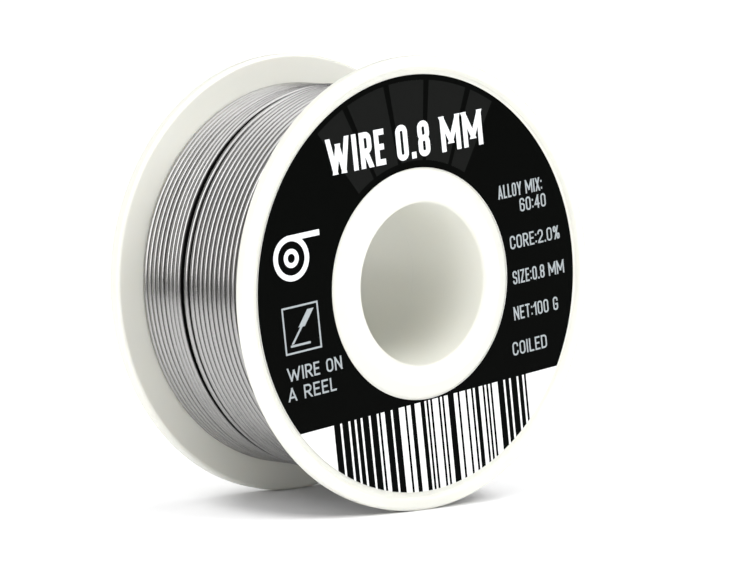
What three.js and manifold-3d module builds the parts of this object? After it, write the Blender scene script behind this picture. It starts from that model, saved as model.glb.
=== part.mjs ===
// Solder wire spool: two white moulded halves pressed together, a paper label
// in the recess of the front flange, and one long wire wound on the barrel.
//
// Millimetres, +Z up. The spool stands on the rims of its two flanges, its axis
// lies along Y and the labelled face looks along -Y. The origin is on the
// ground, under the middle of the spool.

import * as THREE from "three";
import { mergeVertices } from "three/addons/utils/BufferGeometryUtils.js";
import Module from "manifold-3d";

const wasm = await Module();
wasm.setup();

// Flanges. Each Y value is a distance from the middle of the spool, so the
// rear half has it along +Y and the front half along -Y.
const FLANGE_R = 28;
const LIP_R = 26.3; // inner edge of the raised rim
const LIP_SLOPE = 0.3; // how far the rim's inner wall leans out
const RIM_Y = 13.45; // outer face of the raised rim
const FLOOR_Y = 12.9; // floor of the label recess
const FLANGE_Y = 11.55; // inner face, against the wire and inside the barrel
const EDGE_R = 0.5; // rounding of the rim's corners

// Boss around the bore, a little prouder than the rim.
const BOSS_Y = 13.7;
const BOSS_BASE_R = 14.2;
const BOSS_WALL_R = 13.9;
const BOSS_FACE_R = 12.5;
const BOSS_WALL_Y = 13.1; // where the boss's wall turns into its chamfer
const BORE_R = 10;
const BORE_EDGE = 0.6; // rounding of the bore's mouth

// Hollow barrel: bore tube, outer tube and the ribs between them.
const BORE_TUBE_R = 11.6;
const BARREL_R = 18.8;
const BARREL_INNER_R = 17.2;
const SPIGOT_OUTER_R = 17.8; // the rear half's spigot, inside the front half's socket
const SOCKET_R = 18.1;
const SOCKET_DEPTH = 4;
const JOINT_GAP = 0.3; // between the two halves where they meet
const RIB_COUNT = 6;
const RIB_THICKNESS = 1.2;
const RIB_BITE = 0.4; // how far a rib runs into each tube's wall

// Label.
const LABEL_INNER_R = 14.5;
const LABEL_OUTER_R = 25.7;
const LABEL_FACE_Y = 13.05;
const LABEL_THICKNESS = 0.1;

// Wire, 0.8 mm thick, wound in eight layers. The top layer is parted once.
const WIRE_GAP = 0.3; // between the winding and the spool
const WINDING_R = 24.3;
const TOP_LAYER = 0.9;
const PART_Y = 3.75; // middle of the parting in the top layer
const PART_WIDTH = 0.6;

// Round shapes are polygons that touch their true circle with their flats, and
// one flat is at the bottom, so the spool stands on it.
const SIDES = 72;
const FLAT_START = Math.PI / SIDES;
const TO_CORNER = 1 / Math.cos(Math.PI / SIDES);

const plastic = new THREE.MeshStandardMaterial({ color: "#f1f1ec", roughness: 0.35 });
const plasticRear = new THREE.MeshStandardMaterial({ color: "#e9e9e4", roughness: 0.35 });
const paper = new THREE.MeshStandardMaterial({ color: "#17191a", roughness: 0.3 });
const solder = new THREE.MeshStandardMaterial({
  color: "#b9bab8",
  roughness: 0.3,
  metalness: 1,
});

// A closed section of [radius, y] points turned about the Y axis. The points
// run out along the lowest face, up the outside, in at the top and down the bore.
function turned(section) {
  const points = [...section, section[0]].map(([r, y]) => new THREE.Vector2(r * TO_CORNER, y));
  return new THREE.LatheGeometry(points, SIDES, FLAT_START);
}

function ring(innerR, outerR, lowY, highY) {
  return turned([
    [innerR, lowY],
    [outerR, lowY],
    [outerR, highY],
    [innerR, highY],
  ]);
}

// Points of a quarter circle of radius r about [cx, cy], from angle `from`
// through a right angle; both angles are counted from the outward direction.
function roundedCorner(cx, cy, r, from, steps = 3) {
  return Array.from({ length: steps + 1 }, (_, i) => {
    const angle = from + (i / steps) * (Math.PI / 2);
    return [cx + r * Math.cos(angle), cy + r * Math.sin(angle)];
  });
}

function toManifold(geometry) {
  const bare = geometry.clone();
  bare.deleteAttribute("normal");
  bare.deleteAttribute("uv");
  const merged = mergeVertices(bare, 1e-4);
  return new wasm.Manifold(
    new wasm.Mesh({
      numProp: 3,
      vertProperties: new Float32Array(merged.attributes.position.array),
      triVerts: new Uint32Array(merged.index.array),
    }),
  );
}

function fromManifold(solid) {
  const mesh = solid.getMesh();
  const geometry = new THREE.BufferGeometry();
  geometry.setAttribute("position", new THREE.BufferAttribute(mesh.vertProperties, 3));
  geometry.setIndex(new THREE.BufferAttribute(mesh.triVerts, 1));
  geometry.computeVertexNormals();
  return geometry;
}

// The outside of a half, from the bore's mouth over the boss, the recess, the
// rim and the flange's inner face to the barrel. The half is drawn as the
// front one, with its outer face towards -Y.
function outerSection() {
  const quarter = Math.PI / 2;
  return [
    ...roundedCorner(BORE_R + BORE_EDGE, -BOSS_Y + BORE_EDGE, BORE_EDGE, 2 * quarter),
    [BOSS_FACE_R, -BOSS_Y],
    [BOSS_WALL_R, -BOSS_WALL_Y],
    [BOSS_BASE_R, -FLOOR_Y],
    [LIP_R, -FLOOR_Y],
    [LIP_R + LIP_SLOPE, -RIM_Y],
    ...roundedCorner(FLANGE_R - EDGE_R, -RIM_Y + EDGE_R, EDGE_R, -quarter),
    ...roundedCorner(FLANGE_R - EDGE_R, -FLANGE_Y - EDGE_R, EDGE_R, 0),
    [BARREL_R, -FLANGE_Y],
  ];
}

// Ribs that stand between the bore tube and the barrel, from the web to `end`.
function ribs(end) {
  const inner = BORE_TUBE_R - RIB_BITE;
  const outer = BARREL_INNER_R + RIB_BITE;
  const start = -FLANGE_Y - RIB_BITE;
  const shapes = [];
  for (let i = 0; i < RIB_COUNT; i += 1) {
    const rib = new THREE.BoxGeometry(outer - inner, end - start, RIB_THICKNESS);
    rib.translate((inner + outer) / 2, (start + end) / 2, 0);
    rib.rotateY(((i + 0.5) / RIB_COUNT) * 2 * Math.PI);
    shapes.push(toManifold(rib));
  }
  return shapes;
}

function withRibs(geometry, end) {
  return fromManifold(ribs(end).reduce((solid, rib) => solid.add(rib), toManifold(geometry)));
}

// The front half ends in a socket that the rear half's spigot enters.
function frontHalf() {
  const joint = -JOINT_GAP / 2;
  const shell = turned([
    ...outerSection(),
    [BARREL_R, joint],
    [SOCKET_R, joint],
    [SOCKET_R, joint - SOCKET_DEPTH],
    [BARREL_INNER_R, joint - SOCKET_DEPTH],
    [BARREL_INNER_R, -FLANGE_Y],
    [BORE_TUBE_R, -FLANGE_Y],
    [BORE_TUBE_R, joint],
    [BORE_R, joint],
  ]);
  return withRibs(shell, joint - SOCKET_DEPTH - JOINT_GAP);
}

// The rear half is drawn like the front one and turned half a turn about Z.
function rearHalf() {
  const joint = -JOINT_GAP / 2;
  const tip = joint + SOCKET_DEPTH;
  const shell = turned([
    ...outerSection(),
    [BARREL_R, joint],
    [SPIGOT_OUTER_R, joint],
    [SPIGOT_OUTER_R, tip],
    [BARREL_INNER_R, tip],
    [BARREL_INNER_R, -FLANGE_Y],
    [BORE_TUBE_R, -FLANGE_Y],
    [BORE_TUBE_R, joint],
    [BORE_R, joint],
  ]);
  return withRibs(shell, joint - JOINT_GAP);
}

function label() {
  return ring(LABEL_INNER_R, LABEL_OUTER_R, -LABEL_FACE_Y, -LABEL_FACE_Y + LABEL_THICKNESS);
}

const spool = new THREE.Group();
spool.name = "solder_wire_spool";
spool.position.z = FLANGE_R;

function add(name, geometry, material, halfTurn = false) {
  const mesh = new THREE.Mesh(geometry, material);
  mesh.name = name;
  mesh.rotation.z = halfTurn ? Math.PI : 0;
  spool.add(mesh);
}

const windingEnd = FLANGE_Y - WIRE_GAP;
const topLayerR = WINDING_R - TOP_LAYER;
add("front_half", frontHalf(), plastic);
add("rear_half", rearHalf(), plasticRear, true);
add("front_label", label(), paper);
add(
  "winding_inner",
  ring(BARREL_R + WIRE_GAP, topLayerR - WIRE_GAP, -windingEnd, windingEnd),
  solder,
);
add(
  "winding_top_front",
  ring(topLayerR, WINDING_R, -windingEnd, PART_Y - PART_WIDTH / 2),
  solder,
);
add("winding_top_rear", ring(topLayerR, WINDING_R, PART_Y + PART_WIDTH / 2, windingEnd), solder);

export default spool;
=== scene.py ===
import math

import bpy
import numpy as np
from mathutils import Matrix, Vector


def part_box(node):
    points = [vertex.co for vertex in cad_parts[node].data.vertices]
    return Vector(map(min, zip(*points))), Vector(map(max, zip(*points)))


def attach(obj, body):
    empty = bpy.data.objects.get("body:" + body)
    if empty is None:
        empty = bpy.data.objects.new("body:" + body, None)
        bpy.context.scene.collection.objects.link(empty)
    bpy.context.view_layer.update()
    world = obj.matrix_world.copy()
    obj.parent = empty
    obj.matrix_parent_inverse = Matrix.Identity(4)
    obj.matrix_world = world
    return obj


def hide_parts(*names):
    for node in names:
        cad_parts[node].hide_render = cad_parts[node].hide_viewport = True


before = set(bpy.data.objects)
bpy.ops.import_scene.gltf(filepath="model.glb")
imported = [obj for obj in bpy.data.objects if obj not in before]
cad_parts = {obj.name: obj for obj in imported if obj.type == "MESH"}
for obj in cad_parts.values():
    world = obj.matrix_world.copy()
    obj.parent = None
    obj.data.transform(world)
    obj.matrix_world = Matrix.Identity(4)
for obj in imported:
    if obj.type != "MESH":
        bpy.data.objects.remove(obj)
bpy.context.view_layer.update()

# Everything below is in metres, in the frame's own axes: the spool stands on its two rims with its axle
# along Y, and the labelled face looks along -Y.
MM = 0.001

# Sizes that the frame gives.
half_low, half_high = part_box("front_half")
label_low, label_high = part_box("front_label")
AXLE_Z = (half_low.z + half_high.z) / 2
FLANGE_R = (half_high.z - half_low.z) / 2
BOSS_Y = -half_low.y
LABEL_Y = -label_low.y
TO_AXLE = np.array([0, 0, AXLE_Z])  # from the origin, on the ground, to the middle of the spool

# Sizes of the moulding that no box gives, the same as the CAD's.
LIP_R, LIP_SLOPE = 26.3 * MM, 0.3 * MM
RIM_Y, FLOOR_Y, FLANGE_Y = 13.45 * MM, 12.9 * MM, 11.55 * MM
BOSS_BASE_R, BOSS_WALL_R, BOSS_FACE_R = 14.2 * MM, 13.9 * MM, 12.5 * MM
BOSS_WALL_Y = 13.1 * MM
BORE_R = 10 * MM
BORE_TUBE_R = 11.6 * MM
BARREL_R, BARREL_INNER_R = 18.8 * MM, 17.2 * MM
SOCKET_R, SPIGOT_R, SOCKET_DEPTH = 18.1 * MM, 17.8 * MM, 4 * MM
JOINT_GAP = 0.004 * MM  # the halves are pressed together, with only a hairline left
RIB_COUNT, RIB_THICKNESS = 6, 1.2 * MM
RIB_BITE = 0.4 * MM  # how far a rib runs into each tube's wall
RIB_CLEARANCE = 0.3 * MM  # from a rib's end to what it faces

# Wire and winding.
WIRE_D = 0.8 * MM
WIRE_R = WIRE_D / 2
LAYERS = 8
WIDE_LAYER = 25  # turns in the first layer; every other layer has one turn fewer
LAYER_PITCH = 0.929 * MM
FIRST_R = BARREL_R + WIRE_R

# Label print, in the label's own millimetres: u to the right, v up.
LABEL_TILT = math.radians(7.4)  # the label was stuck on a little anticlockwise
LABEL_R = 25.7
LABEL_HOLE_R = 14.3
CUT_V = -14.47  # straight lower edge of the black print
INK_THICKNESS = 0.02

# Camera: round to the left of the labelled face and just above the axle.
AZIMUTH, ELEVATION = -40.49, 4.63
DISTANCE = 439.4 * MM
LENS, SENSOR = 169.39, 36.0
AIM = Vector((1.728 * MM, -1.703 * MM, AXLE_Z - 1.674 * MM))


def direction(azimuth, elevation):
    """Unit vector from the spool to a place at these degrees: azimuth 0 is -Y and 90 is +X."""
    a, e = math.radians(azimuth), math.radians(elevation)
    return Vector((math.sin(a) * math.cos(e), -math.cos(a) * math.cos(e), math.sin(e)))


camera = bpy.data.objects.new("camera", bpy.data.cameras.new("camera"))
bpy.context.scene.collection.objects.link(camera)
away = direction(AZIMUTH, ELEVATION)
camera.location = AIM + DISTANCE * away
camera.rotation_mode = "QUATERNION"
camera.rotation_quaternion = (-away).to_track_quat("-Z", "Y")
camera.data.lens = LENS
camera.data.sensor_width = SENSOR
camera.data.clip_start, camera.data.clip_end = 0.01, 50
bpy.context.scene.camera = camera


def linear(hex_colour):
    """An sRGB hex colour as linear RGBA. A channel c is c/12.92 near black, else ((c+0.055)/1.055)^2.4."""
    channel = np.array([int(hex_colour[i : i + 2], 16) / 255 for i in (1, 3, 5)])
    dark = channel <= 0.04045
    return (*np.where(dark, channel / 12.92, ((channel + 0.055) / 1.055) ** 2.4), 1.0)


def add(tree, kind, sockets=None, **settings):
    """Adds a node. settings are its own properties; sockets maps an input to its value or its source."""
    made = tree.nodes.new(kind)
    for name, value in settings.items():
        setattr(made, name, value)
    for name, value in (sockets or {}).items():
        if isinstance(value, bpy.types.NodeSocket):
            tree.links.new(value, made.inputs[name])
        else:
            made.inputs[name].default_value = value
    return made


def empty_material(name):
    """A new material and its node tree, with no node in it yet."""
    material = bpy.data.materials.new(name)
    material.use_nodes = True
    material.node_tree.nodes.clear()
    return material, material.node_tree


def grid_faces(rows, columns, close_rows, close_columns):
    """Quads of a grid of points kept row by row. A closed direction joins its last line to its first.
    The faces look along (row direction) x (column direction)."""
    i = np.arange(rows if close_rows else rows - 1)[:, None]
    j = np.arange(columns if close_columns else columns - 1)[None, :]
    i_next, j_next = (i + 1) % rows, (j + 1) % columns
    corners = [i * columns + j, i_next * columns + j, i_next * columns + j_next, i * columns + j_next]
    return np.stack([c.ravel() for c in corners], axis=1)


def new_object(mesh):
    """An object of the mesh's own name, at the origin, in the scene."""
    made = bpy.data.objects.new(mesh.name, mesh)
    bpy.context.scene.collection.objects.link(made)
    return made


def finish_piece(mesh, finish, stands_for=()):
    """Makes a mesh a piece of the spool, with its material, in place of CAD nodes."""
    piece = new_object(mesh)
    mesh.materials.append(finish)
    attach(piece, "root")
    if stands_for:
        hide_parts(*stands_for)
    return piece


# Materials.


def drawn_solder():
    """Tin and lead alloy, drawn through a die: a soft grey metal. The eye gets long faint die lines, a
    bright line along each turn and a slightly different dullness from stretch to stretch. Painted shade
    darkens the colour in the grooves between the turns and on the layers under the top one."""
    material, tree = empty_material("drawn_tin_lead_alloy")
    lay = add(tree, "ShaderNodeAttribute", attribute_name="wire_lay").outputs["Vector"]
    # 1 on the side that looks away from the axle, 0 on the sides that touch the turns beside it.
    outward = add(tree, "ShaderNodeSeparateXYZ", {0: lay}).outputs["X"]
    # Painted shade: the colour falls to 0.22 towards the sides where a turn touches the turns beside it.
    painted_groove_shade = add(
        tree,
        "ShaderNodeMapRange",
        {"Value": outward, "From Min": 0.3, "From Max": 0.72, "To Min": 0.22, "To Max": 1.0},
        interpolation_type="SMOOTHSTEP",
    ).outputs[0]
    top_layer = add(tree, "ShaderNodeAttribute", attribute_name="top_layer").outputs["Fac"]
    # Painted shade: the layers under the top one keep only 0.12 of the colour.
    painted_under_layer_shade = add(tree, "ShaderNodeMapRange", {"Value": top_layer, "To Min": 0.12}).outputs[0]
    painted_shade = add(tree, "ShaderNodeMath", {0: painted_groove_shade, 1: painted_under_layer_shade}, operation="MULTIPLY").outputs[0]
    # The die lines of the real wire are about 0.02 mm apart, too fine to show, so they are drawn 0.12
    # mm apart.
    stretched = add(tree, "ShaderNodeMapping", {"Vector": lay, "Scale": (1.0, 1.0, 0.02)})
    die_lines = add(
        tree,
        "ShaderNodeTexNoise",
        {"Vector": stretched.outputs[0], "Scale": 3.4, "Detail": 2.0, "Roughness": 0.6},
    ).outputs["Fac"]
    # A stretch of the same dullness is about 22 mm long.
    stretches = add(tree, "ShaderNodeMapping", {"Vector": lay, "Scale": (0.2, 0.2, 0.045)})
    dullness = add(
        tree, "ShaderNodeTexNoise", {"Vector": stretches.outputs[0], "Scale": 1.0, "Detail": 3.0}
    ).outputs["Fac"]
    tone = add(
        tree,
        "ShaderNodeMix",
        {0: dullness, 6: linear("#a8a7a6"), 7: linear("#bbbab9")},
        data_type="RGBA",
    ).outputs[2]
    # The alloy's tone, darkened by the painted shade.
    painted_shade_tone = add(tree, "ShaderNodeVectorMath", {0: tone, "Scale": painted_shade}, operation="SCALE").outputs[0]
    roughness = add(
        tree,
        "ShaderNodeMapRange",
        {"Value": die_lines, "From Min": 0.3, "From Max": 0.7, "To Min": 0.2, "To Max": 0.34},
    ).outputs[0]
    lines = add(
        tree, "ShaderNodeBump", {"Height": die_lines, "Strength": 0.25, "Distance": 0.006 * MM}
    ).outputs[0]
    shader = add(
        tree,
        "ShaderNodeBsdfPrincipled",
        {"Base Color": painted_shade_tone, "Metallic": 1.0, "Roughness": roughness, "Normal": lines},
    )
    add(tree, "ShaderNodeOutputMaterial", {"Surface": shader.outputs[0]})
    return material


def moulded_plastic():
    """White polystyrene, injection moulded in a polished tool: a smooth, slightly waxy white. The eye
    gets soft highlights, a little light inside the thin edges and a very low waviness where the wall
    has shrunk."""
    material, tree = empty_material("moulded_white_polystyrene")
    place = add(tree, "ShaderNodeTexCoord").outputs["Object"]
    shrink = add(
        tree, "ShaderNodeTexNoise", {"Vector": place, "Scale": 1 / (9 * MM), "Detail": 1.0}
    ).outputs["Fac"]
    # Tool grain is about 0.05 mm; it is drawn at 0.25 mm so that it shows.
    grain = add(
        tree, "ShaderNodeTexNoise", {"Vector": place, "Scale": 1 / (0.25 * MM), "Detail": 2.0}
    ).outputs["Fac"]
    wave = add(
        tree, "ShaderNodeBump", {"Height": shrink, "Strength": 0.5, "Distance": 0.03 * MM}
    ).outputs[0]
    skin = add(
        tree,
        "ShaderNodeBump",
        {"Height": grain, "Strength": 0.3, "Distance": 0.004 * MM, "Normal": wave},
    ).outputs[0]
    roughness = add(
        tree,
        "ShaderNodeMapRange",
        {"Value": grain, "From Min": 0.3, "From Max": 0.7, "To Min": 0.3, "To Max": 0.42},
    ).outputs[0]
    shader = add(
        tree,
        "ShaderNodeBsdfPrincipled",
        {
            "Base Color": linear("#e5e5dd"),
            "Roughness": roughness,
            "IOR": 1.53,
            "Subsurface Weight": 0.25,
            "Subsurface Radius": (1.0, 0.9, 0.75),
            "Subsurface Scale": 1.2 * MM,
            "Normal": skin,
        },
    )
    add(tree, "ShaderNodeOutputMaterial", {"Surface": shader.outputs[0]})
    return material


def coated_sheet(name, colour, shine, roughness_range):
    """Print on coated label paper. The eye gets an even colour with a faint fibre relief under it, and
    a soft satin shine that is lower on the black, whose ink soaks in."""
    material, tree = empty_material(name)
    place = add(tree, "ShaderNodeTexCoord").outputs["Object"]
    # Paper fibres are about 0.03 mm thick; their relief is drawn at 0.2 mm.
    fibre = add(
        tree, "ShaderNodeTexNoise", {"Vector": place, "Scale": 1 / (0.2 * MM), "Detail": 3.0}
    ).outputs["Fac"]
    low, high = roughness_range
    roughness = add(
        tree,
        "ShaderNodeMapRange",
        {"Value": fibre, "From Min": 0.3, "From Max": 0.7, "To Min": low, "To Max": high},
    ).outputs[0]
    relief = add(
        tree, "ShaderNodeBump", {"Height": fibre, "Strength": 0.3, "Distance": 0.004 * MM}
    ).outputs[0]
    shader = add(
        tree,
        "ShaderNodeBsdfPrincipled",
        {
            "Base Color": linear(colour),
            "Roughness": roughness,
            "IOR": 1.5,
            "Specular IOR Level": shine,
            "Normal": relief,
        },
    )
    add(tree, "ShaderNodeOutputMaterial", {"Surface": shader.outputs[0]})
    return material


SOLDER = drawn_solder()
PLASTIC = moulded_plastic()
PAPER = coated_sheet("coated_label_paper", "#f8f8f8", 0.4, (0.35, 0.45))
BLACK_INK = coated_sheet("black_offset_ink", "#060706", 0.015, (0.28, 0.36))
GREY_INK = coated_sheet("dark_grey_offset_ink", "#181918", 0.015, (0.28, 0.36))
WHITE_PRINT = coated_sheet("unprinted_white_of_the_label", "#f4f6f8", 0.3, (0.38, 0.5))
PALE_PRINT = coated_sheet("fine_white_print", "#a6adb0", 0.3, (0.38, 0.5))


# Wire. It starts at the barrel beside the front flange and goes back and forth in eight layers.

START_ANGLE = math.radians(35)  # where a turn starts, from the right-hand side, over the top
STEP_SHARE = 0.2  # the last part of a turn, in which it steps over to the next
LAYER_STEP = math.sqrt(WIRE_D**2 - (LAYER_PITCH / 2) ** 2)
CREST = WIRE_D - LAYER_STEP  # how much higher a turn is on top of another than between two
INNER_STEPS, LAST_INNER_STEPS, TOP_STEPS = 30, 60, 108  # points along a turn
WIRE_SIDES = 10

# The top layer, from the rear flange to the front one.
CLOSE_TURNS, CLOSE_START_Y, CLOSE_PITCH = 9, 11.1 * MM, 0.83 * MM
LONE_TURN_Y = 2.93 * MM
LOOSE_TURNS, LOOSE_START_Y, LOOSE_PITCH = 15, 1.8 * MM, 0.88 * MM


def top_layer_places():
    """Distances of the top layer's turns along the axle, each run in even steps: nine turns close
    together, the parting, one turn by itself, then the rest wound a little more loosely."""
    close = CLOSE_START_Y - np.arange(CLOSE_TURNS) * CLOSE_PITCH
    loose = LOOSE_START_Y - np.arange(LOOSE_TURNS) * LOOSE_PITCH
    return np.concatenate([close, [LONE_TURN_Y], loose])


def turn_table():
    """For each turn its distance along the axle, its radius and its number of points. A turn of the top
    layer lies as high as the turn below lets it: the largest sqrt(D^2 - distance^2) over the layer
    below."""
    along, radius, points = [], [], []
    for layer in range(LAYERS - 1):
        count = WIDE_LAYER - layer % 2
        places = (np.arange(count) - (count - 1) / 2) * LAYER_PITCH
        along.append(places if layer % 2 == 0 else places[::-1])
        radius.append(np.full(count, FIRST_R + layer * LAYER_STEP))
        points.append(np.full(count, LAST_INNER_STEPS if layer == LAYERS - 2 else INNER_STEPS))
    top = top_layer_places()
    apart = np.abs(top[:, None] - along[-1][None, :])
    lift = np.sqrt(np.maximum(WIRE_D**2 - apart**2, 0)).max(axis=1)
    along.append(top)
    radius.append(radius[-1][0] + lift)
    points.append(np.full(len(top), TOP_STEPS))
    return np.concatenate(along), np.concatenate(radius), np.concatenate(points)


def wire_path():
    """Centreline of the wound wire, as its y, radius and angle, and which of its points are in the top
    layer. Turn n runs round at its own radius r and distance y; in its last part both go to the next
    turn's with the smooth step 3s^2 - 2s^3, and r rises by the crest in the middle of the step. The
    last turn is cut off where the turn beside it starts to step over."""
    along, radius, points = turn_table()
    turn = np.repeat(np.arange(len(points)), points)
    first = np.repeat(np.concatenate([[0], np.cumsum(points)[:-1]]), points)
    share = (np.arange(points.sum()) - first) / points[turn]
    last = len(points) - 1
    wound = (turn < last) | (share <= 1 - STEP_SHARE)
    turn, share = turn[wound], share[wound]
    after = np.minimum(turn + 1, last)
    s = np.clip((share - 1 + STEP_SHARE) / STEP_SHARE, 0, 1)
    s = s * s * (3 - 2 * s)
    y = along[turn] + (along[after] - along[turn]) * s
    r = radius[turn] + (radius[after] - radius[turn]) * s
    top_start = len(points) - len(top_layer_places())
    r = r + np.where(turn == after, 0, CREST * 4 * s * (1 - s))
    angle = START_ANGLE + 2 * math.pi * (turn + share)
    return y, r, angle, turn >= top_start


def wound_wire():
    """The wire: a circle of the wire's radius carried along its path, square to it, and closed at both
    cut ends."""
    y, r, angle, on_top = wire_path()
    outward = np.stack([np.cos(angle), np.zeros_like(angle), np.sin(angle)], axis=1)
    axle = np.array([0.0, 1.0, 0.0])
    centre = r[:, None] * outward + y[:, None] * axle + TO_AXLE
    side = 2 * math.pi * np.arange(WIRE_SIDES) / WIRE_SIDES
    normal = (
        np.cos(side)[None, :, None] * outward[:, None, :]
        - np.sin(side)[None, :, None] * axle[None, None, :]
    )
    rings = centre[:, None, :] + WIRE_R * normal
    count = len(centre)
    faces = grid_faces(count, WIRE_SIDES, False, True).tolist()
    faces.append(list(range(WIRE_SIDES)))
    faces.append(list(range((count - 1) * WIRE_SIDES, count * WIRE_SIDES))[::-1])
    mesh = bpy.data.meshes.new("wound_wire")
    mesh.from_pydata(rings.reshape(-1, 3), [], faces)
    mesh.shade_smooth()
    wire = finish_piece(
        mesh,
        SOLDER,
        stands_for=("winding_inner", "winding_top_front", "winding_top_rear"),
    )
    steps = np.linalg.norm(np.diff(centre, axis=0), axis=1)
    run = np.concatenate([[0], np.cumsum(steps)])
    # For the material: the direction out of the wire's middle, then the length so far in millimetres.
    lay = np.empty((count, WIRE_SIDES, 3), np.float32)
    lay[..., 0], lay[..., 1], lay[..., 2] = np.cos(side), np.sin(side), run[:, None] / MM
    attribute = mesh.attributes.new("wire_lay", "FLOAT_VECTOR", "POINT")
    attribute.data.foreach_set("vector", lay.ravel())
    attribute = mesh.attributes.new("top_layer", "FLOAT", "POINT")
    attribute.data.foreach_set("value", np.repeat(on_top, WIRE_SIDES).astype(np.float32))


wound_wire()


# The two moulded halves.

AROUND = 288  # points round a turned part
ARC_STEPS = 5  # along each rounded corner
HALF_TURN = np.array([-1.0, -1.0, 1.0])  # about the vertical: it makes a front part a rear one


def rounded(corners):
    """A closed outline of (radius, y, fillet) corners in millimetres, walked counterclockwise, with
    each corner made an arc that meets both its straight neighbours without a kink: the arc's points are
    its centre plus or minus the fillet along normals that turn evenly from one side's to the next.
    Returns the points and the normals."""
    corners = np.array(corners)
    place, fillet = corners[:, :2], corners[:, 2]
    before = place - np.roll(place, 1, axis=0)
    before = before / np.linalg.norm(before, axis=1)[:, None]
    after = np.roll(before, -1, axis=0)
    turn = np.arctan2(
        before[:, 0] * after[:, 1] - before[:, 1] * after[:, 0], (before * after).sum(axis=1)
    )
    bulge = (np.sign(turn) * fillet)[:, None]
    outward = np.stack([before[:, 1], -before[:, 0]], axis=1)
    centre = place - before * (fillet * np.tan(np.abs(turn) / 2))[:, None] - bulge * outward
    angle = turn[:, None] * np.linspace(0, 1, ARC_STEPS + 1)
    cos, sin = np.cos(angle), np.sin(angle)
    normal = np.stack(
        [
            cos * outward[:, 0, None] - sin * outward[:, 1, None],
            sin * outward[:, 0, None] + cos * outward[:, 1, None],
        ],
        axis=2,
    )
    points = centre[:, None, :] + bulge[:, None, :] * normal
    return points.reshape(-1, 2) * MM, normal.reshape(-1, 2)


def turned(corners, rear=False):
    """A ring-shaped solid: the rounded outline turned about the axle, (r, y) going to
    (r cos a, y, r sin a). The rear part is the front one turned half a turn about the vertical."""
    outline, facing = rounded(corners)
    angle = 2 * math.pi * (np.arange(AROUND) / AROUND) - math.pi / 2
    points, normals = (
        np.stack(
            [
                part[:, 0, None] * np.cos(angle),
                np.repeat(part[:, 1, None], AROUND, axis=1),
                part[:, 0, None] * np.sin(angle),
            ],
            axis=2,
        ).reshape(-1, 3)
        for part in (outline, facing)
    )
    if rear:
        points, normals = points * HALF_TURN, normals * HALF_TURN
    return points + TO_AXLE, grid_faces(len(outline), AROUND, True, True), normals


def outside_corners():
    """Outline of a half, drawn as the front one, from the bore's mouth over the boss, the label recess,
    the rim and the flange's inner face to the barrel. Each corner is its radius, y and fillet, all in
    millimetres."""
    outside = [
        (BORE_R, -BOSS_Y, 0.6),
        (BOSS_FACE_R, -BOSS_Y, 0.35),
        (BOSS_WALL_R, -BOSS_WALL_Y, 0.25),
        (BOSS_BASE_R, -FLOOR_Y, 0.08),
        (LIP_R, -FLOOR_Y, 0.12),
        (LIP_R + LIP_SLOPE, -RIM_Y, 0.3),
        (FLANGE_R, -RIM_Y, 0.5),
        (FLANGE_R, -FLANGE_Y, 0.5),
        (BARREL_R, -FLANGE_Y, 0.3),
    ]
    return [(r / MM, y / MM, fillet) for r, y, fillet in outside]


def end_corners(spigot):
    """The rest of the outline: the socket or spigot, the hollow inside the barrel and the bore tube."""
    joint = -JOINT_GAP / 2
    lip_r = SPIGOT_R if spigot else SOCKET_R
    tip = joint + SOCKET_DEPTH - JOINT_GAP if spigot else joint - SOCKET_DEPTH
    inner = [
        (BARREL_R, joint, 0.1),
        (lip_r, joint, 0.1),
        (lip_r, tip, 0.1),
        (BARREL_INNER_R, tip, 0.1),
        (BARREL_INNER_R, -FLANGE_Y, 0.3),
        (BORE_TUBE_R, -FLANGE_Y, 0.3),
        (BORE_TUBE_R, joint, 0.1),
        (BORE_R, joint, 0.005),
    ]
    return [(r / MM, y / MM, fillet) for r, y, fillet in inner]


def rib_points(end, rear):
    """Six ribs inside the barrel, each a box whose long sides run along the radius, with u, v, w going
    over its length, height and thickness."""
    inner, outer = BORE_TUBE_R - RIB_BITE, BARREL_INNER_R + RIB_BITE
    start_y = -FLANGE_Y - RIB_BITE
    u, v, w = np.meshgrid([inner, outer], [start_y, end], [-0.5, 0.5], indexing="ij")
    angle = 2 * math.pi * (np.arange(RIB_COUNT) + 0.5) / RIB_COUNT
    cos, sin = np.cos(angle)[:, None, None, None], np.sin(angle)[:, None, None, None]
    across = w * RIB_THICKNESS
    points = np.stack([u * cos - across * sin, v + 0 * cos, u * sin + across * cos], axis=-1)
    points = points.reshape(-1, 3) * (HALF_TURN if rear else 1.0)
    # The box's corners are numbered 4u + 2v + w; u x v is +w's direction here.
    box = np.array([[0, 1, 3, 2], [4, 6, 7, 5], [0, 4, 5, 1], [2, 3, 7, 6], [0, 2, 6, 4], [1, 5, 7, 3]])
    faces = (8 * np.arange(RIB_COUNT)[:, None, None] + box[None]).reshape(-1, 4)
    return points + TO_AXLE, faces


def flat_normals(points, faces):
    """One direction for each corner of each face, square to it: the cross product of its diagonals."""
    p = points[faces]
    normal = np.cross(p[:, 2] - p[:, 0], p[:, 3] - p[:, 1])
    normal = normal / np.linalg.norm(normal, axis=1)[:, None]
    return np.repeat(normal, 4, axis=0)


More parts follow.
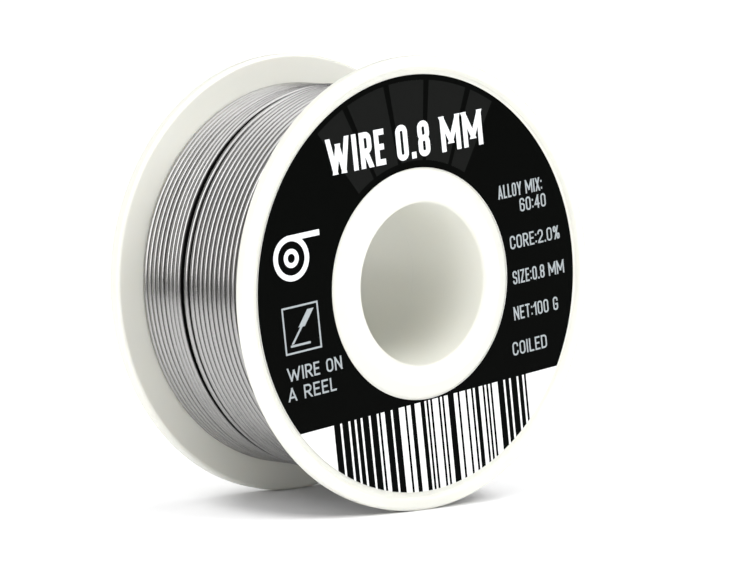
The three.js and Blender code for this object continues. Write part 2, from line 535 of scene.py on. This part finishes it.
def spool_half(name, node, rear):
    """One moulded half: its turned shell and its ribs, which are closed shapes that run into the
    shell's walls."""
    points, faces, normals = turned(outside_corners() + end_corners(spigot=rear), rear)
    end = -JOINT_GAP / 2 - RIB_CLEARANCE - (0 if rear else SOCKET_DEPTH)
    ribs, rib_faces = rib_points(end, rear)
    mesh = bpy.data.meshes.new(name)
    all_faces = np.concatenate([faces, rib_faces + len(points)])
    mesh.from_pydata(np.concatenate([points, ribs]), [], all_faces)
    mesh.shade_smooth()
    corner_normals = np.concatenate([normals[faces.ravel()], flat_normals(ribs, rib_faces)])
    mesh.normals_split_custom_set(corner_normals)
    finish_piece(mesh, PLASTIC, stands_for=(node,))


spool_half("moulded_front_half", "front_half", rear=False)
spool_half("moulded_rear_half", "rear_half", rear=True)


# The label and its print. u, v are the label's own millimetres and w is the lift off the spool's middle
# plane.


def on_label(u, v, w):
    """Label millimetres to metres: u and v turned by the label's tilt about the axle, w towards the
    viewer."""
    cos, sin = math.cos(LABEL_TILT), math.sin(LABEL_TILT)
    return np.stack([u * cos - v * sin, -w, u * sin + v * cos], axis=-1) * MM + TO_AXLE


def slab(first, second, back, front, closed=False):
    """Points and faces of a thin closed slab between two edges, each (points, 2) of u, v. The face that
    shows runs from first to second, which lies to the left of the way along. A closed slab joins its
    ends."""
    edges = np.stack([first, second, second, first], axis=1)
    lift = np.broadcast_to(np.array([front, front, back, back]), edges.shape[:2])
    points = on_label(edges[..., 0], edges[..., 1], lift).reshape(-1, 3)
    faces = grid_faces(len(first), 4, closed, True)
    if not closed:
        last = 4 * (len(first) - 1)
        faces = np.concatenate([faces, [[0, 1, 2, 3], [last + 3, last + 2, last + 1, last]]])
    return points, faces


def printed(name, slabs, finish, stands_for=()):
    """One piece of the label from many slabs. The faces of each are counted on from the points before."""
    starts = np.cumsum([0] + [len(points) for points, faces in slabs])
    mesh = bpy.data.meshes.new(name)
    mesh.from_pydata(
        np.concatenate([points for points, faces in slabs]),
        [],
        np.concatenate([faces + first for (points, faces), first in zip(slabs, starts)]),
    )
    finish_piece(mesh, finish, stands_for=stands_for)


def circle(radius, angle, centre=(0.0, 0.0)):
    """Points (n, 2) at the given angles round a centre, at one distance from it or each at its own."""
    way = np.stack([np.cos(angle), np.sin(angle)], axis=-1)
    return way * np.reshape(radius, (-1, 1)) + np.asarray(centre)


LABEL_MM = LABEL_Y / MM
PAPER_BACK = label_high.y / -MM
INK_FACE = LABEL_MM + INK_THICKNESS
PRINT_FACE = INK_FACE + INK_THICKNESS
full_turn = 2 * math.pi * np.arange(AROUND) / AROUND
paper_outer, paper_inner = circle(LABEL_R, full_turn), circle(LABEL_HOLE_R, full_turn)
paper = slab(paper_outer, paper_inner, PAPER_BACK, LABEL_MM, closed=True)
printed("label_sheet", [paper], PAPER, stands_for=("front_label",))

# Black print: from the hole out to the label's edge, and at the foot to the straight cut, which lies at
# a distance of CUT_V / sin(angle).
ARC_POINTS, CUT_POINTS = 220, 60
cut_angle = math.asin(CUT_V / LABEL_R)
arc_angle = np.linspace(cut_angle, math.pi - cut_angle, ARC_POINTS)
foot_angle = np.linspace(-math.pi - cut_angle, cut_angle, CUT_POINTS)[1:-1]
black_angle = np.concatenate([arc_angle, foot_angle])
black_reach = np.concatenate([np.full(ARC_POINTS, LABEL_R), CUT_V / np.sin(foot_angle)])
black_outer, black_inner = circle(black_reach, black_angle), circle(LABEL_HOLE_R, black_angle)
black_ring = slab(black_outer, black_inner, LABEL_MM, INK_FACE, closed=True)
printed("black_print", [black_ring], BLACK_INK)

# Stripes: plain decoration of random widths, with no code in it.
STRIPE_COUNT, STRIPES_LEFT, STRIPES_RIGHT = 29, -16.0, 15.8
SPANS, SPAN_SHARES, SPAN_SEED = [0.4, 0.8, 1.2], [0.58, 0.27, 0.15], 4
STRIPE_POINTS = 4  # along a stripe's foot, which follows the label's edge
span_picker = np.random.default_rng(SPAN_SEED)
spans = span_picker.choice(SPANS, size=2 * STRIPE_COUNT - 1, p=SPAN_SHARES)
reached = np.append(0, np.cumsum(spans))
stripe_edges = STRIPES_LEFT + (STRIPES_RIGHT - STRIPES_LEFT) * reached / spans.sum()
stripe_u = np.linspace(stripe_edges[0::2], stripe_edges[1::2], STRIPE_POINTS, axis=1)
stripe_top = np.stack([stripe_u, np.full_like(stripe_u, CUT_V)], axis=-1)
stripe_foot = np.stack([stripe_u, -np.sqrt(LABEL_R**2 - stripe_u**2)], axis=-1)
stripes = [slab(foot, top, LABEL_MM, INK_FACE) for foot, top in zip(stripe_foot, stripe_top)]
printed("stripes", stripes, BLACK_INK)

# Faint wedges behind the title, like the gaps between the spokes of a wheel, in degrees from the right.
WEDGES = [[124, 113], [111, 97], [95, 82], [80, 66], [64, 55]]
WEDGE_INNER_R, WEDGE_OUTER_R, WEDGE_POINTS = 15.2, 25.0, 12
wedge_first, wedge_last = np.radians(WEDGES).T
wedges = [
    slab(
        circle(WEDGE_INNER_R, angle), circle(WEDGE_OUTER_R, angle), INK_FACE, INK_FACE + INK_THICKNESS / 2
    )
    for angle in np.linspace(wedge_first, wedge_last, WEDGE_POINTS, axis=1)
]
printed("spoke_pattern", wedges, GREY_INK)


# Letters of one even stroke. Each is its width, in shares of the line's unit, and its strokes' centre
# lines, in shares of the room between the outermost centre lines. A line that ends where it starts is a
# closed loop. The letters without a width are as wide as the stroke.
UPRIGHT, FOOT, HEAD = [(0, 0), (0, 1)], [(0, 0), (1, 0)], [(0, 1), (1, 1)]
LETTERS = {
    "A": (1.1, [[(0, 0), (0.5, 1)], [(1, 0), (0.5, 1)], [(0.2, 0.26), (0.8, 0.26)]]),
    "C": (1.0, [[(1, 0.68), (1, 1), (0, 1), (0, 0), (1, 0), (1, 0.32)]]),
    "D": (1.0, [UPRIGHT, [(0, 0), (1, 0), (1, 1), (0, 1)]]),
    "E": (0.85, [UPRIGHT, FOOT, HEAD, [(0, 0.51), (0.85, 0.51)]]),
    "G": (1.0, [[(1, 0.7), (1, 1), (0, 1), (0, 0), (1, 0), (1, 0.45)], [(0.6, 0.45), (1, 0.45)]]),
    "I": (0, [UPRIGHT]),
    "L": (0.8, [UPRIGHT, FOOT]),
    "M": (1.7, [UPRIGHT, [(1, 0), (1, 1)], [(0, 1), (0.5, 0.25)], [(1, 1), (0.5, 0.25)]]),
    "N": (1.05, [UPRIGHT, [(1, 0), (1, 1)], [(0, 1), (1, 0)]]),
    "O": (1.0, [[(0, 0), (1, 0), (1, 1), (0, 1), (0, 0)]]),
    "R": (1.0, [UPRIGHT, [(0, 0.46), (1, 0.46), (1, 1), (0, 1)], [(0.45, 0.46), (1, 0)]]),
    "S": (
        1.0,
        [[(1, 0.74), (1, 1), (0, 1), (0, 0.56), (1, 0.44), (1, 0), (0, 0), (0, 0.26)]],
    ),
    "T": (0.95, [HEAD, [(0.5, 0), (0.5, 1)]]),
    "W": (
        1.9,
        [[(0, 1), (0.26, 0)], [(0.5, 0.8), (0.26, 0)], [(0.5, 0.8), (0.74, 0)], [(1, 1), (0.74, 0)]],
    ),
    "X": (1.05, [[(0, 0), (1, 1)], [(0, 1), (1, 0)]]),
    "Y": (1.05, [[(0.5, 0), (0.5, 0.42)], [(0, 1), (0.5, 0.4)], [(1, 1), (0.5, 0.4)]]),
    "Z": (0.95, [HEAD, [(1, 1), (0, 0)], FOOT]),
    "0": (1.0, [[(0, 0), (1, 0), (1, 1), (0, 1), (0, 0)]]),
    "1": (0.6, [[(1, 0), (1, 1)], [(0, 0.74), (1, 1)]]),
    "2": (1.0, [[(0, 0.7), (0, 1), (1, 1), (1, 0.58), (0, 0.06)], FOOT]),
    "4": (1.05, [[(0.76, 0), (0.76, 1)], [(0, 0.28), (0.76, 1)], [(0, 0.28), (1, 0.28)]]),
    "6": (1.0, [[(1, 0.74), (1, 1), (0, 1), (0, 0), (1, 0), (1, 0.56), (0, 0.56)]]),
    "8": (
        1.0,
        [[(0, 0), (1, 0), (1, 0.52), (0, 0.52), (0, 0)], [(0, 0.52), (1, 0.52), (1, 1), (0, 1), (0, 0.52)]],
    ),
    "%": (
        1.2,
        [
            [(0, 0.62), (0.36, 0.62), (0.36, 1), (0, 1), (0, 0.62)],
            [(0.64, 0), (1, 0), (1, 0.38), (0.64, 0.38), (0.64, 0)],
            [(0.2, 0), (0.8, 1)],
        ],
    ),
    ".": (0, [[(0, 0), (0, 0.02)]]),
    ":": (0, [[(0, 0.12), (0, 0.14)], [(0, 0.7), (0, 0.72)]]),
    " ": (0.5, []),
}
LETTER_GAP = 0.25  # between letters, in the line's unit
CORNER_SHARE = 0.46  # of a letter's width, the radius of its round corners
STROKE_LIFT = 0.003  # each stroke lies this much above the one before, so that no two faces share a plane


def pen_stroke(line, thick, order):
    """A stroke of even width along a line of u, v points. A straight one runs on by half its width and
    is cut level if it is steep and upright if it is flat. A bent one has its corners rounded to a share
    of its width. Its two edges are the line moved by half the width along its normals."""
    closed = line[0] == line[-1]
    place = np.array(line[:-1] if closed else line, float)
    if len(line) == 2:
        way = (place[1] - place[0]) / np.linalg.norm(place[1] - place[0])
        steep = abs(way[1]) > 0.5
        stretch = thick / 2 / abs(way[1] if steep else way[0])
        place = place + np.outer([-1, 1], way) * (stretch if steep else thick / 2)
        edge = np.sign([way[1], 0] if steep else [0, -way[0]]) * stretch
    else:
        bend = CORNER_SHARE * np.ptp(place[:, 0])
        points, normal = rounded([(u, v, bend) for u, v in place])
        if closed:
            place, edge = points / MM, normal * thick / 2
        else:
            inside = slice(ARC_STEPS + 1, -ARC_STEPS - 1)
            normal = normal[inside]
            place = np.concatenate([place[:1], points[inside] / MM, place[-1:]])
            edge = np.concatenate([normal[:1], normal, normal[-1:]]) * thick / 2
    return slab(place + edge, place - edge, INK_FACE, PRINT_FACE + order * STROKE_LIFT, closed)


def lettering(name, thick, lines, finish):
    """Words in strokes of one thickness. Each line is (text, left u, right u, baseline v, height), and
    its unit of width is what makes it reach from left to right."""
    slabs = []
    for text, left, right, base, height in lines:
        widths = np.array([LETTERS[letter][0] for letter in text])
        narrow = (widths == 0) * thick
        unit = (right - left - narrow.sum()) / (widths.sum() + LETTER_GAP * (len(text) - 1))
        widths = widths * unit + narrow
        starts = left + np.cumsum(widths + LETTER_GAP * unit) - widths - LETTER_GAP * unit
        for letter, start_u, width in zip(text, starts, widths):
            for order, line in enumerate(LETTERS[letter][1]):
                room = np.array([width - thick, height - thick])
                corner = np.array([start_u, base]) + thick / 2
                slabs.append(pen_stroke([tuple(corner + room * share) for share in line], thick, order))
    printed(name, slabs, finish)


lettering("title", 0.72, [("WIRE 0.8 MM", -12.9, 12.3, 15.45, 4.4)], WHITE_PRINT)
lettering(
    "values",
    0.21,
    [
        ("ALLOY MIX:", 13.96, 21.5, 8.15, 1.7),
        ("60:40", 17.42, 21.9, 6.03, 1.7),
        ("CORE:2.0%", 15.2, 23.75, 1.57, 1.7),
        ("SIZE:0.8 MM", 15.13, 24.0, -2.88, 1.7),
        ("NET:100 G", 14.74, 22.4, -7.38, 1.7),
        ("COILED", 13.98, 19.9, -11.8, 1.7),
    ],
    PALE_PRINT,
)
lettering(
    "reel_words",
    0.22,
    [("WIRE ON", -22.3, -13.8, -7.9, 1.65), ("A REEL", -22.5, -15.0, -10.3, 1.65)],
    PALE_PRINT,
)

# Plain signs: a reel seen from its side, with the wire leaving it, and a soldering bit in a frame.
SIGN_POINTS = 48
REEL_MIDDLE, REEL_END = (-19.9, 6.7), (-19.9, 9.1)
FRAME_LEFT, FRAME_RIGHT, FRAME_FOOT, FRAME_HEAD = -22.1, -16.7, -4.6, 0.9
FRAME_LINE, FINE_LINE, HANDLE_LINE, LOOSE_END_LINE = 0.22, 0.26, 0.75, 0.7


def sign_ring(outer, inner):
    """A flat ring between two radii about the reel sign's middle."""
    angle = 2 * math.pi * np.arange(SIGN_POINTS) / SIGN_POINTS
    edges = circle(outer, angle, REEL_MIDDLE), circle(inner, angle, REEL_MIDDLE)
    return slab(*edges, INK_FACE, PRINT_FACE, closed=True)


wire_end = pen_stroke([REEL_END, (-15.6, 9.1)], LOOSE_END_LINE, 1)
printed("reel_sign", [sign_ring(2.75, 2.05), sign_ring(1.15, 0.55), wire_end], WHITE_PRINT)
bit_lines = [
    ([(FRAME_LEFT, FRAME_FOOT), (FRAME_RIGHT, FRAME_FOOT)], FRAME_LINE),
    ([(FRAME_LEFT, FRAME_HEAD), (FRAME_RIGHT, FRAME_HEAD)], FRAME_LINE),
    ([(FRAME_LEFT, FRAME_FOOT), (FRAME_LEFT, FRAME_HEAD)], FRAME_LINE),
    ([(FRAME_RIGHT, FRAME_FOOT), (FRAME_RIGHT, FRAME_HEAD)], FRAME_LINE),
    ([(-20.9, -3.4), (-19.2, -1.4)], FINE_LINE),
    ([(-19.1, -1.3), (-18.1, -0.1)], HANDLE_LINE),
    ([(-21.2, -3.75), (-18.4, -3.75)], FINE_LINE),
]
bit_strokes = [pen_stroke(line, thick, order) for order, (line, thick) in enumerate(bit_lines)]
printed("bit_sign", bit_strokes, PALE_PRINT)


# Floor, light and sky.

FLOOR_HALF = 6.0  # half the floor's side
FLAG_REACH, FLAG_FOOT, FLAG_HEAD = 0.15, 0.004, 0.027  # its distance from the origin and its two edges
FLAG_POINTS = 48


def studio_floor():
    """A large flat square of matt white board with a painted glow, light that no lamp gives: it is none
    under the spool, which keeps the spool's shadow there tight, rises fast just beside the spool and then
    slowly with the distance from the origin."""
    material, tree = empty_material("white_board_painted_glow")
    place = add(tree, "ShaderNodeTexCoord").outputs["Object"]
    tooth = add(tree, "ShaderNodeTexNoise", {"Vector": place, "Scale": 1 / (0.6 * MM)}).outputs["Fac"]
    relief = add(
        tree, "ShaderNodeBump", {"Height": tooth, "Strength": 0.1, "Distance": 0.01 * MM}
    ).outputs[0]
    # Painted light: the floor's own glow, none under the spool and growing with the distance from it,
    # paints the spool's shadow and the bright floor round it.
    distance = add(tree, "ShaderNodeVectorMath", {0: place}, operation="LENGTH").outputs["Value"]
    painted_glow_near_spool = add(
        tree,
        "ShaderNodeMapRange",
        {"Value": distance, "From Min": 0.013, "From Max": 0.021, "To Min": 0.0, "To Max": 0.36},
        interpolation_type="SMOOTHSTEP",
    ).outputs[0]
    painted_glow_far_off = add(
        tree,
        "ShaderNodeMapRange",
        {"Value": distance, "From Min": 0.2, "From Max": 0.9, "To Min": 0.0, "To Max": 0.8},
    ).outputs[0]
    painted_floor_glow = add(tree, "ShaderNodeMath", {0: painted_glow_near_spool, 1: painted_glow_far_off}, operation="ADD").outputs[0]
    # The winding mirrors less of the glow than is seen, so that its lower half stays grey.
    mirrored = add(tree, "ShaderNodeLightPath").outputs["Is Glossy Ray"]
    kept = add(tree, "ShaderNodeMapRange", {"Value": mirrored, "To Min": 1.0, "To Max": 0.3}).outputs[0]
    painted_floor_glow = add(tree, "ShaderNodeMath", {0: painted_floor_glow, 1: kept}, operation="MULTIPLY").outputs[0]
    shader = add(
        tree,
        "ShaderNodeBsdfPrincipled",
        {
            "Base Color": linear("#f5f5f6"),
            "Roughness": 0.55,
            "IOR": 1.45,
            "Normal": relief,
            "Emission Color": (1, 1, 1, 1),
            "Emission Strength": painted_floor_glow,
        },
    )
    add(tree, "ShaderNodeOutputMaterial", {"Surface": shader.outputs[0]})
    corners = FLOOR_HALF * np.array([[-1, -1, 0], [1, -1, 0], [1, 1, 0], [-1, 1, 0]])
    mesh = bpy.data.meshes.new("studio_floor")
    mesh.from_pydata(corners, [], [[0, 1, 2, 3]])
    mesh.materials.append(material)
    new_object(mesh)


def softbox(name, azimuth, elevation, distance, size, radiance):
    """A lamp of that width and height, aimed at the middle of the spool. Its watts are pi x area x
    radiance."""
    back = direction(azimuth, elevation)
    light = bpy.data.lights.new(name, "AREA")
    light.shape = "RECTANGLE"
    light.size, light.size_y = size
    light.energy = math.pi * size[0] * size[1] * radiance
    lamp = bpy.data.objects.new(name, light)
    bpy.context.scene.collection.objects.link(lamp)
    lamp.location = Vector(TO_AXLE) + distance * back
    lamp.rotation_mode = "QUATERNION"
    lamp.rotation_quaternion = (-back).to_track_quat("-Z", "Y")


def black_flag():
    """A strip of black felt that stands round the left of the table, a part of a cylinder about the
    vertical through the origin. It shows only in reflections, as the dark line along the side of the
    winding."""
    material, tree = empty_material("black_felt")
    shader = add(tree, "ShaderNodeBsdfDiffuse", {"Color": linear("#0b0b0b"), "Roughness": 1.0})
    add(tree, "ShaderNodeOutputMaterial", {"Surface": shader.outputs[0]})
    azimuth, height = np.meshgrid(
        np.radians(np.linspace(-178, -8, FLAG_POINTS)), [FLAG_FOOT, FLAG_HEAD], indexing="ij"
    )
    points = np.stack([FLAG_REACH * np.sin(azimuth), -FLAG_REACH * np.cos(azimuth), height], axis=2)
    mesh = bpy.data.meshes.new("black_flag")
    mesh.from_pydata(points.reshape(-1, 3), [], grid_faces(FLAG_POINTS, 2, False, False))
    mesh.materials.append(material)
    flag = new_object(mesh)
    flag.visible_camera = flag.visible_diffuse = flag.visible_shadow = False


def studio_sky():
    """White where it is looked at. As light it is the dim room round the table, so that the metal has
    something dark to mirror, with a pale wall behind the spool."""
    world = bpy.data.worlds.new("studio_sky")
    world.use_nodes = True
    tree = world.node_tree
    tree.nodes.clear()
    sight = add(tree, "ShaderNodeTexCoord").outputs["Generated"]
    split = add(tree, "ShaderNodeSeparateXYZ", {0: sight})
    wall = add(
        tree,
        "ShaderNodeMapRange",
        {"Value": split.outputs["Y"], "From Min": 0.2, "From Max": 0.8, "To Min": 0.06, "To Max": 0.35},
        interpolation_type="SMOOTHSTEP",
    ).outputs[0]
    lit = add(tree, "ShaderNodeBackground", {"Color": (1, 1, 1, 1), "Strength": wall})
    seen = add(tree, "ShaderNodeBackground", {"Color": (1, 1, 1, 1), "Strength": 1.1})
    choice = add(
        tree,
        "ShaderNodeMixShader",
        {
            0: add(tree, "ShaderNodeLightPath").outputs["Is Camera Ray"],
            1: lit.outputs[0],
            2: seen.outputs[0],
        },
    )
    add(tree, "ShaderNodeOutputWorld", {"Surface": choice.outputs[0]})
    bpy.context.scene.world = world


studio_floor()
studio_sky()
black_flag()
softbox("overhead_softbox", azimuth=0, elevation=78, distance=0.6, size=(0.8, 0.8), radiance=1.7)
softbox("left_panel", azimuth=-80, elevation=27, distance=0.7, size=(0.5, 0.78), radiance=2.8)
softbox("front_key", azimuth=30, elevation=35, distance=0.8, size=(0.4, 0.4), radiance=7.2)

view = bpy.context.scene.view_settings
view.view_transform = "Standard"
view.look = "None"
view.exposure = 0.0
bpy.context.scene.cycles.use_denoising = True
